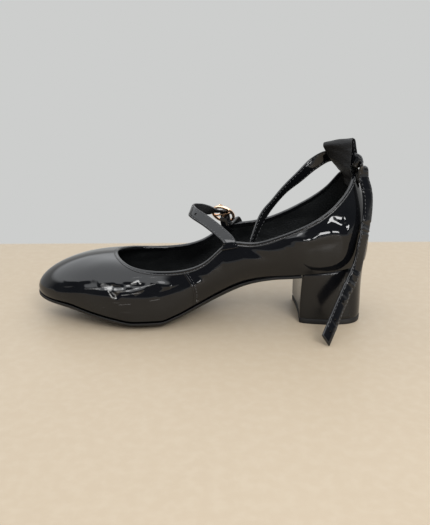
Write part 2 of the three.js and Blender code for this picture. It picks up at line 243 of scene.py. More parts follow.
# A grid whose two directions, each from 0 to 1, are placed by a function
def gridPiece(name, columns, rows, place, fill=True, angle=40):
    clearSelection()
    bpy.ops.mesh.primitive_grid_add(x_subdivisions=columns, y_subdivisions=rows, size=2)
    piece = bpy.context.active_object
    piece.name = piece.data.name = name
    flat = np.empty(len(piece.data.vertices) * 3)
    piece.data.vertices.foreach_get("co", flat)
    shares = (flat.reshape(-1, 3)[:, :2] + 1) / 2
    placed = place(shares[:, 0], shares[:, 1])
    piece.data.vertices.foreach_set("co", np.ascontiguousarray(placed).ravel())
    piece.data.update()
    closeUp(piece, fill)
    softShade(piece, angle)
    return piece


# Gives a finished piece its materials and its body, and hides the solids that it stands for
def dress(piece, finishes, slot, *nodes):
    for finish in finishes:
        piece.data.materials.append(finish)
    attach(piece, "root")
    if nodes:
        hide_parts(*nodes)


def unit(vectors):
    return vectors / np.maximum(np.linalg.norm(vectors, axis=-1, keepdims=True), 1e-9)


# Finishes
def newBoard(name):
    material = bpy.data.materials.new(name)
    material.use_nodes = True
    return material, Board(material.node_tree)


def surface(board, sockets):
    shader = board.node("ShaderNodeBsdfPrincipled", {}, sockets)
    board.node("ShaderNodeOutputMaterial", {}, {"Surface": shader})


patent = {
    "black": (0.0022, 0.0023, 0.0028, 1), "smudge": (0.0055, 0.0058, 0.006, 1),
    # worn is a pale colour for rubbed wear and scratches, and also a painted highlight where the inner
    # forefoot's creases catch the light
    "worn": (0.34, 0.34, 0.335, 1),
    "gloss": 0.045, "heelGloss": 0.16, "smearGloss": 0.035, "dull": 0.208, "wornAndHighlightShare": 0.8,
    "wave": 0.00022, "drawn": 0.10, "scratch": 0.00002, "ior": 1.46,
    # sizes of the patterns, larger being finer
    "smear": 38, "patch": 22, "fine": (30, 380, 420), "streak": (210, 300, 900),
    "ripple": 85, "swell": 30, "pull": (9, 60, 190),
}


def patentFinish(name, wave=1.0, scuffedAndHighlighted=False, scratches=1.0, gloss=patent["gloss"]):
    material, board = newBoard(name)
    where = board.coordinates()
    smear = board.between(board.noise(where, patent["smear"], 4), 0.42, 0.72)
    colour = board.blend(smear * 0.5, patent["black"], patent["smudge"])
    fine = board.noise(board.stretched(where, patent["fine"], (0, 0.12, 0)), 1.0, 3, roughness=0.6)
    lines = board.between(fine, 0.655, 0.70)
    patch = board.between(board.noise(where, patent["patch"], 2), 0.48, 0.66)
    marks = lines * patch * scratches
    # The upper's scuffs are painted pale: partly rubbed wear, partly painted highlight of creases catching
    # the light
    if scuffedAndHighlighted:
        rubbed = board.node("ShaderNodeAttribute", {"attribute_name": "scuff"}, out="Fac")
        streaks = board.noise(board.stretched(where, patent["streak"], (0, 0.10, 0)), 1.0, 4, roughness=0.65)
        scuff = board.between(rubbed, 0.12, 0.95) * (0.2 + board.between(streaks, 0.40, 0.66))
        marks = (marks * 0.45).largest(scuff)
        colour = board.blend(marks.smallest(1.0) * patent["wornAndHighlightShare"], colour, patent["worn"])
    roughness = gloss + smear * patent["smearGloss"] + marks * patent["dull"]
    ripple = board.noise(where, patent["ripple"], 2, roughness=0.4)
    swell = board.noise(where, patent["swell"], 2, roughness=0.4)
    pull = board.noise(board.stretched(where, patent["pull"]), 1.0, 3, roughness=0.6)
    height = ripple * 0.35 + swell + pull * patent["drawn"]
    normal = board.bump(height, patent["wave"] * wave)
    normal = board.bump(1 - marks, patent["scratch"], 0.6, normal)
    surface(board, {
        "Base Color": colour, "Roughness": roughness, "Normal": normal, "IOR": patent["ior"],
        "Coat Weight": 0.04, "Coat Roughness": 0.03,
    })
    return material


lining = {"cloud": 42, "fuzz": 1400, "relief": 0.00009, "gap": (0.002, 0.002, 0.002, 1), "shine": 0.22}


def liningFinish(name, base, pale, scale=520, rough=0.62):
    material, board = newBoard(name)
    where = board.coordinates()
    cells = board.node("ShaderNodeTexVoronoi", {"feature": "DISTANCE_TO_EDGE"}, {
        "Vector": where, "Scale": scale, "Randomness": 0.9})
    grain = board.between(cells, 0.0, 0.35)
    cloud = board.noise(where, lining["cloud"], 4)
    colour = board.blend(board.between(cloud, 0.4, 0.7), base, pale)
    colour = board.blend((1 - grain) * 0.4, colour, lining["gap"])
    normal = board.bump(grain + board.noise(where, lining["fuzz"], 2) * 0.4, lining["relief"], 0.8)
    surface(board, {
        "Base Color": colour, "Roughness": board.between(cloud, 0.35, 0.7, rough - 0.08, rough + 0.1),
        "Normal": normal, "Specular IOR Level": lining["shine"],
    })
    return material


rubber = {
    "black": (0.0062, 0.0060, 0.0058, 1), "rubbed": (0.014, 0.013, 0.012, 1),
    "dusty": (0.050, 0.044, 0.037, 1), "dustFrom": 0.0005, "dustTo": 0.004,
    "grit": 900, "relief": 0.00008, "shine": 0.3,
}


def rubberFinish(name):
    material, board = newBoard(name)
    where = board.coordinates()
    x, y, z = board.parts(where)
    grit = board.noise(where, rubber["grit"], 3)
    rub = board.between(board.noise(board.stretched(where, (40, 40, 160)), 1.0, 4), 0.5, 0.72)
    worn = rub * (1 - board.between(z, rubber["dustFrom"], rubber["dustTo"]))
    colour = board.blend(rub * 0.35, rubber["black"], rubber["rubbed"])
    colour = board.blend(worn * 0.5, colour, rubber["dusty"])
    normal = board.bump(grit + rub * 0.5, rubber["relief"], 0.7)
    surface(board, {
        "Base Color": colour, "Roughness": 0.5 + grit * 0.2, "Normal": normal,
        "Specular IOR Level": rubber["shine"],
    })
    return material


buckleMetal = {
    "rose": (0.92, 0.66, 0.47, 1), "deep": (0.84, 0.54, 0.36, 1), "gloss": 0.15, "relief": 0.00002}


def goldFinish(name):
    material, board = newBoard(name)
    where = board.coordinates()
    brushed = board.noise(board.stretched(where, (900, 900, 260)), 1.0, 3)
    cloud = board.noise(where, 160, 3)
    colour = board.blend(board.between(cloud, 0.4, 0.7), buckleMetal["rose"], buckleMetal["deep"])
    normal = board.bump(brushed, buckleMetal["relief"], 0.5)
    surface(board, {
        "Base Color": colour, "Roughness": buckleMetal["gloss"] + brushed * 0.12, "Normal": normal,
        "Metallic": 1.0,
    })
    return material


threadTones = {
    "dark": (0.016, 0.0165, 0.018, 1), "light": (0.05, 0.051, 0.054, 1), "twist": 900, "fuzz": 2600}


def threadFinish(name):
    material, board = newBoard(name)
    where = board.coordinates()
    twist = board.node("ShaderNodeTexWave", {"bands_direction": "DIAGONAL"}, {
        "Vector": where, "Scale": threadTones["twist"], "Distortion": 1.5})
    fuzz = board.noise(where, threadTones["fuzz"], 2)
    colour = board.blend(twist * 0.6, threadTones["dark"], threadTones["light"])
    normal = board.bump(twist + fuzz * 0.4, 0.00005)
    surface(board, {
        "Base Color": colour, "Roughness": 0.42 + fuzz * 0.2, "Normal": normal, "Sheen Weight": 0.3})
    return material


floor = {
    "pale": (0.298, 0.244, 0.178, 1), "shade": (0.275, 0.223, 0.160, 1), "speck": (0.325, 0.275, 0.208, 1),
    "back": (0.1675, 0.1725), "front": (-0.62, -0.57), "sides": (0.70, 0.76), "halfSize": 8,
}


# The stone turns into the backdrop's colour beyond the floor's back, front and sides
def floorFinish(name):
    material, board = newBoard(name)
    where = board.coordinates()
    x, y, z = board.parts(where)
    cloud = board.noise(where, 7, 4)
    speck = board.noise(where, 160, 4)
    colour = board.blend(cloud, floor["pale"], floor["shade"])
    colour = board.blend(board.between(speck, 0.35, 0.75) * 0.35, colour, floor["speck"])
    stone = board.node("ShaderNodeBsdfPrincipled", {}, {
        "Base Color": colour, "Roughness": 0.42 + cloud * 0.1, "Specular IOR Level": 0.25})
    paper = board.node("ShaderNodeEmission", {}, {"Color": backdropColour, "Strength": 1.0})
    beyond = board.between(y, *floor["back"])
    before = 1 - board.between(y, *floor["front"])
    beside = board.between((x * x) ** 0.5, *floor["sides"])
    far = beyond.largest(before).largest(beside)
    mixed = board.node("ShaderNodeMixShader", {}, {0: far, 1: stone, 2: paper})
    board.node("ShaderNodeOutputMaterial", {}, {"Surface": mixed})
    return material


patentUpper = patentFinish("patentUpper", scuffedAndHighlighted=True)
patentSmooth = patentFinish("patentSmooth", wave=0.5, scratches=0.6)
patentStrap = patentFinish("patentStrap", wave=0.35, scratches=0.8)
patentHeel = patentFinish("patentHeel", wave=0.7, scratches=0.9, gloss=patent["heelGloss"])
liningCloth = liningFinish("liningCloth", (0.0050, 0.0055, 0.0058, 1), (0.0090, 0.0100, 0.0102, 1))
tabCloth = liningFinish("tabCloth", (0.0062, 0.0062, 0.0066, 1), (0.0105, 0.0105, 0.011, 1), 700, 0.6)
sockCloth = liningFinish("sockCloth", (0.010, 0.0105, 0.011, 1), (0.020, 0.020, 0.020, 1), 380, 0.58)
soleRubber = rubberFinish("soleRubber")
gold = goldFinish("rosyGold")
thread = threadFinish("blackThread")
print("finishes made")


def addFloor():
    clearSelection()
    half = floor["halfSize"]
    bpy.ops.mesh.primitive_plane_add(size=2 * half)
    slab = bpy.context.active_object
    slab.name = "floor"
    slab.data.transform(Matrix.Translation((0, half / 2, 0)))
    slab.data.materials.append(floorFinish("paleFloor"))


addFloor()


# The upper's surface: sections in millimetres, from the back of the heel along the inner side
# to the toe and back along the outer side, each with
# along, side, topAlong, topSide, top, swellOut, swellUp, leanOut, leanUp
upper = {
    "rows": [
        (26.2, 0, 13.5, 3, 104, 3.5, 20, 13, -20), (20.5, -14.5, 13, -9, 102.5, 3.5, 19, 9, -19),
        (6, -24.3, 5.5, -18.5, 92, 4, 16, 6, -17), (-16, -26, -13, -26.5, 77, 4.5, 13, 3, -14),
        (-40, -23.5, -38, -28, 66, 6, 10, 2.5, -10), (-64, -23, -58, -28, 61, 8, 10, 2, -9),
        (-87, -27, -74, -27.5, 60.5, 7, 13, 2.5, -13), (-109, -32.5, -89, -30, 48.5, 6, 14, 2.5, -11),
        (-131, -36, -110.5, -31.5, 42.3, 4.5, 15, 3, -9), (-152, -35.5, -134, -28, 43, 4, 16, 7, -5),
        (-173, -30.5, -146, -18.5, 45.5, 4, 16, 16, 0), (-192, -23, -150.5, -9, 46.8, 4, 14, 28, 0.5),
        (-204.5, -13, -152, -2, 47.4, 4, 12, 37, 0.5), (-209, -1.5, -152, 4, 47, 4, 11, 38, 0),
        (-203, 10.5, -150.5, 11, 45.8, 4, 12, 33, -0.5), (-189, 20.5, -145, 20, 44, 4, 14, 20, -1),
        (-170, 29.5, -134, 27.5, 42, 4, 16, 10, -2.5), (-148, 37, -114, 30.5, 41.5, 4, 16, 5, -7),
        (-124, 40, -91.5, 30, 46.5, 4, 16, 3, -11), (-100, 37.5, -74, 28.5, 57.5, 4.5, 15, 2.5, -13),
        (-76, 31, -57, 28.5, 61, 5, 13, 2.5, -10), (-52, 27.5, -38, 28.5, 65.5, 4.5, 12, 2.5, -10),
        (-27, 26.5, -16, 27, 76.5, 4, 13, 3, -14), (-3, 25.7, 0, 20.5, 90, 4, 15, 6, -17),
        (17, 17.5, 8, 12.5, 102, 4, 18, 9, -19)],
    "toe": 13, "wall": 2.0,
    "treads": [
        (-212, 18), (-197, 14), (-183, 10.4), (-168, 6.2), (-153, 2.7), (-138, 0), (-121, 0), (-110, 3.4),
        (-97, 9.4), (-79, 18), (-58, 27), (-38, 32.4), (-24, 34.2), (-4, 36.4)],
    "seatStart": -24, "seat": 37, "seatSlope": 0.11, "sole": 2.8,
    "crown": 4.5, "crownFrom": 0.55, "crownEnd": -210, "toeFade": 30, "waistGap": 4, "waistFade": 50,
}
sections = len(upper["rows"])
slopeStep = 0.01  # how far to each side a direction is measured


# Control rows of a closed smooth line that passes through the rows
def splineControls(rows):
    count = len(rows)
    weights = np.eye(count) * 4 / 6
    for i in range(count):
        weights[i, (i + 1) % count] += 1 / 6
        weights[i, (i - 1) % count] += 1 / 6
    return np.linalg.solve(weights, np.array(rows, float))


controls = splineControls(upper["rows"])


def sectionAt(u):
    start = np.floor(u).astype(int)
    t = (u - start)[:, None]
    a, b, c, d = [controls[(start + step) % sections] for step in (-1, 0, 1, 2)]
    near = 3 * t**3 - 6 * t**2 + 4
    far = -3 * t**3 + 3 * t**2 + 3 * t + 1
    return (a * (1 - t)**3 + b * near + c * far + d * t**3) / 6


def smoothStep(value):
    t = np.clip(value, 0, 1)
    return t * t * (3 - 2 * t)


# A sine or cosine pushed towards a rounded square's side by a power under 1
def roundedWave(wave, power):
    return np.sign(wave) * np.abs(wave)**power


# Slopes for a smooth line through the tread's heights that never overshoots them
def treadSlopes(xs, zs):
    slopes = []
    for i in range(len(xs)):
        before, after = max(0, i - 1), min(len(xs) - 1, i + 1)
        left = (zs[i] - zs[before]) / max(1e-6, xs[i] - xs[before])
        right = (zs[after] - zs[i]) / max(1e-6, xs[after] - xs[i])
        slopes.append(0 if left * right <= 0 else 2 * left * right / (left + right))
    slopes[0] = (zs[1] - zs[0]) / (xs[1] - xs[0])
    return np.array(slopes)


treadX, treadZ = np.array(upper["treads"], float).T
treadSlope = treadSlopes(treadX, treadZ)


def treadHeight(x):
    i = np.clip(np.searchsorted(treadX, x, side="right") - 1, 0, len(treadX) - 2)
    width = treadX[i + 1] - treadX[i]
    t = (x - treadX[i]) / width
    rise = treadZ[i + 1] - treadZ[i]
    start, end = treadSlope[i] * width, treadSlope[i + 1] * width
    curve = treadZ[i] + start * t + (3 * rise - 2 * start - end) * t**2 + (start + end - 2 * rise) * t**3
    seat = upper["seat"] + upper["seatSlope"] * (x - upper["seatStart"]) - upper["sole"]
    return np.where(x >= upper["seatStart"], seat, curve)


# The edge where the upper meets the sole, with across from -1 to 1
def featherHeight(x, across):
    toe = smoothStep((x - upper["crownEnd"]) / upper["toeFade"])
    waist = smoothStep((upper["seatStart"] - upper["waistGap"] - x) / upper["waistFade"])
    curl = np.clip((np.abs(across) - upper["crownFrom"]) / (1 - upper["crownFrom"]), 0, 1)**2
    return treadHeight(x) + upper["sole"] + upper["crown"] * toe * waist * curl


def planOutward(u, column):
    ahead, behind = sectionAt(u + slopeStep), sectionAt(u - slopeStep)
    travel = unit(ahead[:, column:column + 2] - behind[:, column:column + 2])
    return np.stack([-travel[:, 1], travel[:, 0], 0 * u], 1)


# A point of the outside in millimetres: u counts the sections, v runs from the sole to the topline
def plainPoint(u, v):
    row = sectionAt(u)
    foot = np.stack([row[:, 0], row[:, 1], featherHeight(row[:, 0], 1.0)], 1)
    swell = foot + planOutward(u, 0) * row[:, 5:6]
    swell[:, 2] += row[:, 6]
    top = row[:, 2:5]
    lean = top + planOutward(u, 2) * row[:, 7:8]
    lean[:, 2] += row[:, 8]
    v = v[:, None]
    return (1 - v)**3 * foot + 3 * v * (1 - v)**2 * swell + 3 * v * v * (1 - v) * lean + v**3 * top


def upperFrame(u, v):
    around = plainPoint(u + slopeStep, v) - plainPoint(u - slopeStep, v)
    low, high = np.clip(v - slopeStep, 0, 1), np.clip(v + slopeStep, 0, 1)
    rise = (plainPoint(u, high) - plainPoint(u, low)) / (high - low)[:, None]
    out = unit(np.cross(rise, around))
    return unit(around), rise, out


# Creases and dents in the patent: from x, z to x, z on one side of the shoe, width, height
creases = [
    (-1, -163, 31.5, -150, 33.5, 1.5, -0.55), (-1, -154, 33, -137, 31, 1.3, -0.6),
    (-1, -152, 29.5, -140, 32.5, 1.2, 0.55), (-1, -146, 34.5, -128, 32.5, 1.6, -0.5),
    (-1, -138, 29, -126, 34, 1.4, 0.5), (-1, -150, 25, -146, 31, 1.1, -0.5),
    (-1, -176, 33, -162, 34.5, 2.6, -0.45), (-1, -128, 36, -112, 33, 1.8, 0.35),
    (-1, -122, 28, -104, 34, 1.5, -0.28), (-1, -104, 40, -84, 36, 2.4, -0.3),
    (-1, -62, 56, -40, 50, 3.0, -0.5), (-1, -34, 66, -14, 62, 3.2, 0.5), (-1, -22, 58, 2, 62, 3.4, -0.6),
    (-1, -6, 76, 8, 70, 3.2, -0.5), (-1, -194, 27, -172, 31, 1.8, -0.42),
    (-1, -187, 33, -167, 35.5, 1.5, 0.32),
    (-1, -76, 43, -18, 58, 9.0, 1.2), (-1, -34, 57, 6, 70, 8.5, 0.9), (1, -150, 30, -132, 34, 2.0, -0.5),
    (1, -136, 26, -118, 33, 2.2, 0.4), (1, -60, 54, -36, 50, 3.0, -0.45), (1, -30, 62, -4, 66, 3.4, 0.5),
]
creaseFade = {"sole": 0.08, "topline": 0.12}
sideStart = 8  # a crease fades in over as much again, from this far off the middle


# Each point's share of the way along a segment seen from the side, and its distance from it
def besideSegment(points, x0, z0, x1, z1):
    start, run = np.array([x0, z0]), np.array([x1 - x0, z1 - z0])
    flat = points[:, [0, 2]] - start
    share = np.clip(flat @ run / (run @ run), 0, 1)
    return share, np.linalg.norm(flat - share[:, None] * run, axis=1)


def creaseHeight(points):
    height = np.zeros(len(points))
    for side, x0, z0, x1, z1, width, depth in creases:
        share, off = besideSegment(points, x0, z0, x1, z1)
        onSide = smoothStep((points[:, 1] * side - sideStart) / sideStart)
        height += depth * np.sin(share * math.pi)**0.5 * np.exp(-(off / width)**2) * onSide
    return height


def upperPoint(u, v, lift=0.0):
    points = plainPoint(u, v)
    out = upperFrame(u, v)[2]
    edge = smoothStep(v / creaseFade["sole"]) * smoothStep((1 - v) / creaseFade["topline"])
    return (points + out * (creaseHeight(points) * edge + lift)[:, None]) * mm


# Rubbed places on the inner side of the forefoot, also standing for painted highlights where creases catch
# the light: points as x, z, then half width and strength
scuffsAndHighlights = [
    ([(-158.8, 33.2), (-153.7, 31.2)], 1.5, 1.0), ([(-157.0, 31.0), (-152.4, 32.6)], 0.7, 1.0),
    ([(-150.4, 31.0), (-145.2, 31.6)], 0.75, 1.0),
    ([(-138.9, 34.8), (-134.6, 36.8), (-133.2, 35.0)], 0.65, 1.0),
    ([(-142.5, 33.4), (-136.0, 34.6)], 0.5, 0.8), ([(-171.6, 30.0), (-160.5, 30.8)], 0.45, 0.6),
    ([(-155, 29.8), (-152.4, 25.6), (-149.8, 25.2), (-150.0, 27.3), (-152.2, 28.8)], 0.5, 1.0),
    ([(-149, 29.4), (-140, 30.6), (-134.4, 32.2)], 0.5, 0.8), ([(-133.6, 32.2), (-122.9, 35.0)], 0.42, 0.6),
    ([(-148, 20.7), (-139.9, 21.4)], 0.4, 0.45), ([(-127, 23.5), (-120, 24.6)], 0.4, 0.4),
    ([(-146, 27.4), (-133, 29.2)], 0.4, 0.55),
]
scuffsAndHighlightsFrom = 15  # only this far to the inner side and beyond


# Where the upper is painted pale, as rubbed wear and as painted highlight
def scuffAndHighlightMask(points):
    mask = np.zeros(len(points))
    for path, width, strength in scuffsAndHighlights:
        for start, end in zip(path, path[1:]):
            off = besideSegment(points, *start, *end)[1]
            mask = np.maximum(mask, strength * np.exp(-(off / width)**2))
    return mask * (points[:, 1] < -scuffsAndHighlightsFrom)


# Columns stand closer together along the inner forefoot, where the scuffs and painted highlights are
shell = {"around": 560, "rise": 76, "closeFrom": 6.8, "closeTo": 11.0, "closer": 1.3, "closeFade": 0.5}


def columnPlaces():
    u = np.linspace(0, sections, 2001)
    middle = (u[1:] + u[:-1]) / 2
    fade = shell["closeFade"]
    inside = smoothStep((middle - shell["closeFrom"]) / fade) * smoothStep((shell["closeTo"] - middle) / fade)
    share = np.concatenate([[0], np.cumsum(1 + shell["closer"] * inside)])
    return share / share[-1], u


columnShare, columnU = columnPlaces()


def makeUpper():
    piece = gridPiece("upperShell", shell["around"], shell["rise"],
                      lambda s, t: upperPoint(np.interp(s, columnShare, columnU), t), fill=False, angle=60)
    points = np.array([tuple(vertex.co) for vertex in piece.data.vertices]) / mm
    # The scuff attribute carries pale rubbed wear and painted highlight
    piece.data.attributes.new("scuff", "FLOAT", "POINT").data.foreach_set("value", scuffAndHighlightMask(points))
    dress(piece, [patentUpper, liningCloth], "patent_upper", "upper")
    wall = piece.modifiers.new("wall", "SOLIDIFY")
    wall.thickness = upper["wall"] * mm
    wall.offset = -1
    wall.material_offset = 1
    wall.material_offset_rim = 0
    pick(piece)
    bpy.ops.object.modifier_apply(modifier="wall")


makeUpper()
print("upper made")


def lengthAlong(points):
    steps = np.linalg.norm(np.diff(points, axis=0), axis=1)
    return np.concatenate([[0], np.cumsum(steps)])


# Shares of a path that stand a stitch's pitch apart
def evenly(pointAt, pitch, start=0.0, end=1.0, fine=3000):
    shares = np.linspace(start, end, fine)
    length = lengthAlong(pointAt(shares))
    count = max(2, int(round(length[-1] / pitch)))
    middles = (np.arange(count) + 0.5) / count * length[-1]
    return np.interp(middles, length, shares)


stitch = {
    "length": 1.7, "radius": 0.2, "pitch": 2.4, "lean": 0.06, "flat": 0.85, "halfLength": 1.25, "taper": 0.35}


def stitchModel():
    clearSelection()
    bpy.ops.mesh.primitive_uv_sphere_add(segments=6, ring_count=6, radius=1)
    piece = bpy.context.active_object
    bpy.ops.object.mode_set(mode="EDIT")
    bpy.ops.mesh.select_all(action="SELECT")
    bpy.ops.transform.resize(value=(1, 1, stitch["halfLength"]))
    bpy.ops.object.mode_set(mode="OBJECT")
    points = np.array([tuple(vertex.co) for vertex in piece.data.vertices])
    points[:, :2] *= (1 - stitch["taper"] * np.abs(points[:, 2:])**3)
    faces = [tuple(face.vertices) for face in piece.data.polygons]
    bpy.data.objects.remove(piece)
    return points, faces


stitchPoints, stitchFaces = stitchModel()


# Rows of thread bumps: each row has middles, directions along and directions out, in millimetres
def stitches(name, rows, slot, length=stitch["length"]):
    points, faces = [], []
    radius = stitch["radius"]
    for middles, along, out in rows:
        along = unit(along)
        side = unit(np.cross(out, along))
        out = unit(np.cross(along, side))
        for i, middle in enumerate(middles):
            tilt = along[i] + side[i] * stitch["lean"] * (1 if i % 2 else -1)
            shape = (stitchPoints[:, :1] * side[i] * radius
                     + stitchPoints[:, 1:2] * out[i] * radius * stitch["flat"]
                     + stitchPoints[:, 2:] * tilt * length / (2 * stitch["halfLength"]) + middle)
            start = len(points) * len(stitchPoints)
            points.append(shape)
            faces += [tuple(start + corner for corner in face) for face in stitchFaces]
    mesh = bpy.data.meshes.new(name)
    mesh.from_pydata((np.concatenate(points) * mm).tolist(), [], faces)
    piece = bpy.data.objects.new(name, mesh)
    bpy.context.scene.collection.objects.link(piece)
    closeUp(piece, fill=False, merge=1e-7)
    softShade(piece, 60)
    dress(piece, [thread], slot)


# A smooth line through given points, with t from 0 to 1 along it
def catmull(points, t):
    points = np.array(points, float)
    last = len(points) - 1
    place = np.clip(t, 0, 1) * last
    i = np.minimum(np.floor(place).astype(int), last - 1)
    w = (place - i)[:, None]
    padded = np.vstack([2 * points[0] - points[1], points, 2 * points[-1] - points[-2]])
    p0, p1, p2, p3 = [padded[i + k] for k in range(4)]
    pairs = ((p0, p1), (p1, p2), (p2, p3))
    d0, d1, d2 = [np.sqrt(np.linalg.norm(b - a, axis=1, keepdims=True)) for a, b in pairs]
    d1 = np.where(d1 < 1e-4, 1, d1)
    d0, d2 = np.where(d0 < 1e-4, d1, d0), np.where(d2 < 1e-4, d1, d2)
    leave = ((p1 - p0) / d0 - (p2 - p0) / (d0 + d1) + (p2 - p1) / d1) * d1
    reach = ((p2 - p1) / d1 - (p3 - p1) / (d1 + d2) + (p3 - p2) / d2) * d1
    return ((2 * p1 - 2 * p2 + leave + reach) * w**3 + (3 * p2 - 3 * p1 - 2 * leave - reach) * w**2
            + leave * w + p1)


# A path on the upper is a list of u, v
def pathFrame(path, s):
    uv, ahead, behind = [catmull(path, np.clip(s + step, 0, 1)) for step in (0, slopeStep, -slopeStep)]
    along = unit(upperPoint(ahead[:, 0], ahead[:, 1]) - upperPoint(behind[:, 0], behind[:, 1]))
    return uv, along, upperFrame(uv[:, 0], uv[:, 1])[2]


# The folded topline edge's outline: outwards from the outside of the upper, and up from the topline
binding = {
    "outline": [
        (0.0, -2.5), (0.26, -2.4), (0.34, -2.1), (0.14, -1.6), (0.30, -1.1), (0.38, -0.4), (0.22, 0.2),
        (-0.3, 0.5), (-1.0, 0.62), (-1.7, 0.5), (-2.2, 0.15), (-2.34, -0.5), (-2.3, -2.2), (-2.2, -2.8),
        (-1.9, -3.0), (-1.3, -2.4), (-0.9, -2.2), (-0.5, -2.6)],
    "around": 520, "steps": 40, "stitchDrop": 1.6, "stitchOut": 0.26, "puff": 0.05, "finePuff": 0.04,
}


def closedOutline(table, t):
    points = np.array(table, float)
    count = len(points)
    wrapped = np.vstack([points[-2:], points, points[:3]])
    place = (t % 1) * count
    i = np.floor(place).astype(int)
    w = (place - i)[:, None]
    p0, p1, p2, p3 = [wrapped[i + 1 + k] for k in range(4)]
    return 0.5 * (2 * p1 + (p2 - p0) * w + (2 * p0 - 5 * p1 + 4 * p2 - p3) * w**2
                  + (3 * p1 - p0 - 3 * p2 + p3) * w**3)


# Millimetres out from the upper and up along it from its topline
def nearTopline(u, out, up):
    rise = upperFrame(u, np.ones_like(u))[1]
    below = np.clip(1 + np.minimum(up, 0) / np.linalg.norm(rise, axis=1), 0, 1)
    base = upperPoint(u, below) / mm
    normal = upperFrame(u, below)[2]
    lean = unit(np.where((up > 0)[:, None], rise, 0) + 1e-9)
    return (base + normal * out[:, None] + lean * np.maximum(up, 0)[:, None]) * mm


def makeBinding():
    def place(s, t):
        outline = closedOutline(binding["outline"], t)
        u = s * sections
        puff = 1 + binding["puff"] * np.sin(u * 9.1) + binding["finePuff"] * np.sin(u * 23.7 + 1)
        return nearTopline(u, outline[:, 0] * puff, outline[:, 1])
    piece = gridPiece("toplineBinding", binding["around"], binding["steps"], place, fill=False, angle=60)
    dress(piece, [patentSmooth], "patent_upper")

    def row(s):
        full = np.ones_like(s)
        return nearTopline(s * sections, binding["stitchOut"] * full, -binding["stitchDrop"] * full) / mm
    shares = evenly(row, stitch["pitch"])
    step = 0.0005
    along = row(shares + step) - row(shares - step)
    out = upperFrame(shares * sections, np.full_like(shares, 0.95))[2]
    stitches("toplineStitches", [(row(shares), along, out)], "patent_upper")


# The seam on each side, as a path of u, v
seams = {
    "paths": [
        [(7.74, 0.965), (7.55, 0.83), (7.2, 0.63), (6.88, 0.45), (6.6, 0.25), (6.45, 0.03)],
        [(17.42, 0.965), (17.75, 0.83), (18.2, 0.63), (18.6, 0.45), (19.0, 0.25), (19.2, 0.03)]],
    "width": 1.5, "height": 0.32, "columns": 90, "steps": 14, "roundness": 0.7,
    "stitchLift": 0.12, "stitchAside": 1.9,
}


def seamEdge(path):
    def place(s, t):
        uv, along, out = pathFrame(path, s)
        side = unit(np.cross(out, along))
        turn = t * 2 * math.pi
        across = roundedWave(np.cos(turn), seams["roundness"]) * seams["width"] / 2
        up = roundedWave(np.sin(turn), seams["roundness"]) * seams["height"]
        centre = upperPoint(uv[:, 0], uv[:, 1]) / mm
        return (centre + side * across[:, None] + out * up[:, None]) * mm
    return gridPiece("sideSeamEdges", seams["columns"], seams["steps"], place, angle=60)


def seamStitchRow(path):
    def middles(s):
        uv, along, out = pathFrame(path, s)
        stitched = upperPoint(uv[:, 0], uv[:, 1], seams["stitchLift"]) / mm
        return stitched + np.cross(out, along) * seams["stitchAside"]
    shares = evenly(middles, stitch["pitch"], fine=400)
    return middles(shares), *pathFrame(path, shares)[1:]


def makeSideSeams():
    edges = [seamEdge(path) for path in seams["paths"]]
    clearSelection()
    for edge in edges:
        edge.select_set(True)
    bpy.context.view_layer.objects.active = edges[0]
    bpy.ops.object.join()
    dress(edges[0], [patentSmooth], "patent_upper")
    stitches("sideSeamStitches", [seamStitchRow(path) for path in seams["paths"]], "patent_upper")


makeBinding()
makeSideSeams()
print("binding and seams made")


# Sole, sock and heel
sole = {"to": 0.997, "over": 0.6, "lift": -2.8, "thick": 2.5}
sock = {"from": 0.02, "to": 0.98, "over": -2.6, "lift": 0.25, "thick": 2.0}
sheet = {"columns": 150, "steps": 80, "sideRound": 0.22, "faceRound": 0.5}
cushion = {  # middle, half length, half width as a share, and height of the sock's soft places
    "seat": (-2, 24, 0.75, 0.9), "ball": (-128, 30, 0.7, -0.35),
}
heel = {
    "breast": -22, "inset": 0.8, "back": 23, "front": 26.5, "side": 26.5, "backCorner": 3.2, "frontCorner": 8,
    "narrowing": 0.17, "foot": 4.1, "topPiece": 3.8, "hollow": 1.3, "round": 1.1,
    "soleGap": 0.3, "seatGap": 0.3, "around": 260, "seatPoints": 161, "breastPoints": 60, "levels": 31,
    "ease": 0.9, "seatEdge": (0.5, 0.012), "footEdge": (0.35, 0.01),  # each edge's inset and how soon it ends
}


# The place u where one side's outline reaches x
def stationAt(x, side):
    station = np.linspace(0, 1, 4001)
    u = station * upper["toe"] if side < 0 else sections - station * (sections - upper["toe"])
    along = sectionAt(u)[:, 0]
    return float(u[np.argmax(along <= x)])


# A sheet on the tread from a pair of places at the back to a share of the way to the toe
def sheetPiece(name, spec, back, swell=None):
    toe = upper["toe"]

    def place(s, t):
        u1 = back[0] + (spec["to"] * toe - back[0]) * s
        u2 = back[1] + (sections - spec["to"] * (sections - toe) - back[1]) * s
        inner = sectionAt(u1)[:, :2] + planOutward(u1, 0)[:, :2] * spec["over"]
        outer = sectionAt(u2)[:, :2] + planOutward(u2, 0)[:, :2] * spec["over"]
        turn = t * 2 * math.pi
        share = roundedWave(np.cos(turn), sheet["sideRound"])
        level = 0.5 + 0.5 * roundedWave(np.sin(turn), sheet["faceRound"])
        plan = inner + (outer - inner) * ((share + 1) / 2)[:, None]
        height = featherHeight(plan[:, 0], share) + spec["lift"] + spec["thick"] * level
        if swell:
            height += swell(plan[:, 0], share) * level
        return np.stack([plan[:, 0], plan[:, 1], height], 1) * mm
    return gridPiece(name, sheet["columns"], sheet["steps"], place, angle=50)


def makeSole():
    end = heel["breast"] - heel["soleGap"]
    piece = sheetPiece("outsoleSheet", sole, (stationAt(end, -1), stationAt(end, 1)))
    dress(piece, [soleRubber], "outsole", "outsole")


